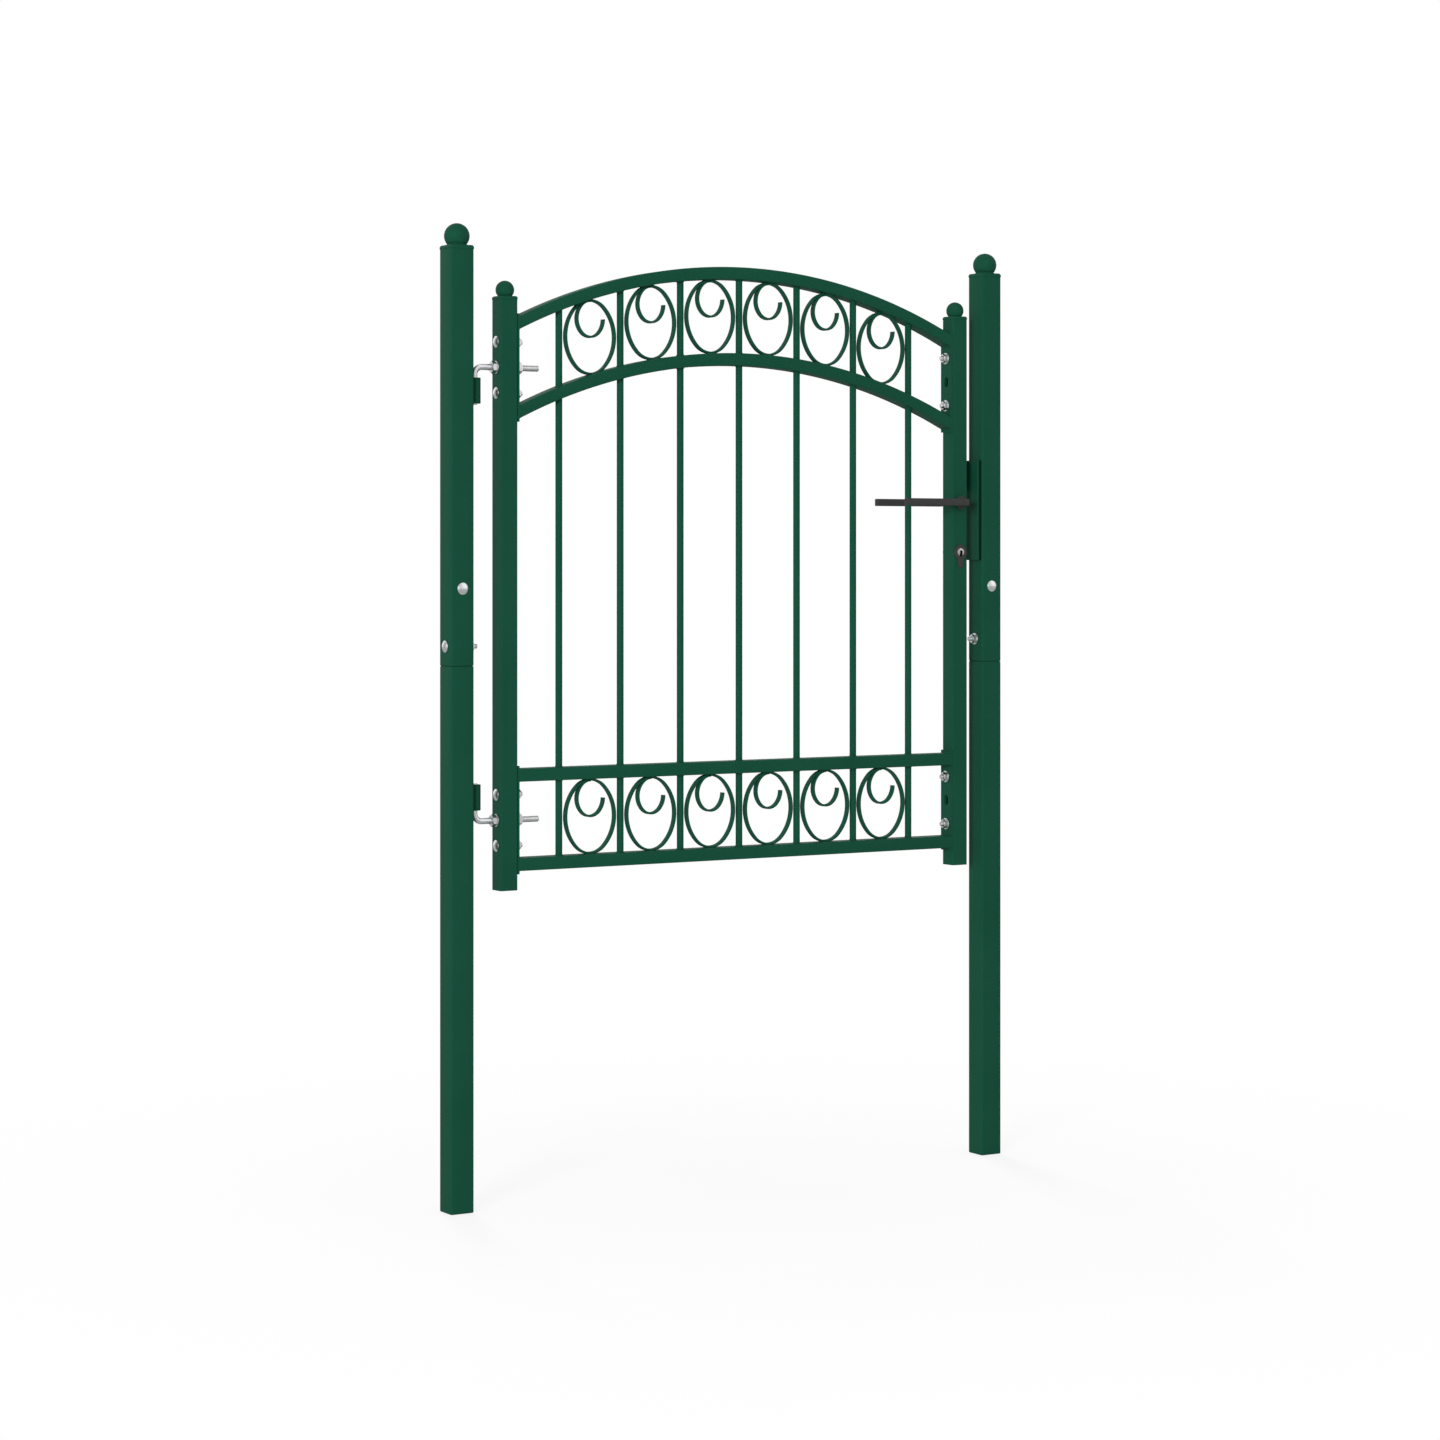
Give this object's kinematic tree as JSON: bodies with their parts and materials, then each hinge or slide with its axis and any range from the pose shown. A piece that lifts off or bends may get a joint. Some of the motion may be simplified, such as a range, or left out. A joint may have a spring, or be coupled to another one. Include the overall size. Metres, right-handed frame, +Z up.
{
  "type": "fence gate",
  "caption": "Garden fence gate: a steel leaf with a double arched top, round bars and scrolls, hung on bolted hinges between two square posts, with a sprung lever handle and key cylinder.",
  "frame": {"origin": "centre of the hinge post's foot, on its flat underside", "axes": "X across the gateway from the hinge post to the latch post, Y from the front, which the leaf opens towards, to the back, Z up"},
  "size_m": [1.048, 0.097, 1.521],
  "materials": {
    "green": "satin moss green powder coat",
    "zinc": "bright zinc plate",
    "black": "matt black coat"
  },
  "bodies": {
    "posts": {"hinge_post_lower": "green", "hinge_post_upper": "green", "hinge_post_spigot": "zinc", "hinge_post_cap": "green", "latch_post_lower": "green", "latch_post_upper": "green", "latch_post_spigot": "zinc", "latch_post_cap": "green", "post_bolts": "zinc", "post_washers": "zinc", "post_nuts": "zinc", "hinge_bushes": "green", "strike_plate": "green", "strike_packing": "black"},
    "leaf": {"hinge_upright": "green", "latch_upright": "green", "upright_caps": "green", "upper_end_plates": "green", "lower_end_plates": "green", "top_arch": "green", "lower_arch": "green", "middle_rail": "green", "bottom_rail": "green", "upper_bars": "green", "middle_bars": "green", "lower_bars": "green", "upper_scrolls": "green", "lower_scrolls": "green", "frame_bolts": "zinc", "frame_washers": "zinc", "frame_nuts": "zinc", "hinge_pins": "zinc", "pin_washers": "zinc", "pin_nuts": "zinc", "lever_roses": "black", "cylinder_covers": "black", "key_cylinder": "zinc"},
    "handle": {"spindle": "zinc", "front_lever": "black", "back_lever": "black"}
  },
  "joints": [
    {"name": "leaf_hinge", "type": "hinge", "parent": "posts", "child": "leaf", "pos_m": [0.03, 0, 0.6], "axis": [0, 0, -1], "range_deg": [0, 90]},
    {"name": "lever_turn", "type": "hinge", "parent": "leaf", "child": "handle", "pos_m": [0.9382, 0, 1.0992], "axis": [0, -1, 0], "range_deg": [0, 45], "stiffness_Nm_per_rad": 1.5, "springref_deg": -20.05}
  ]
}
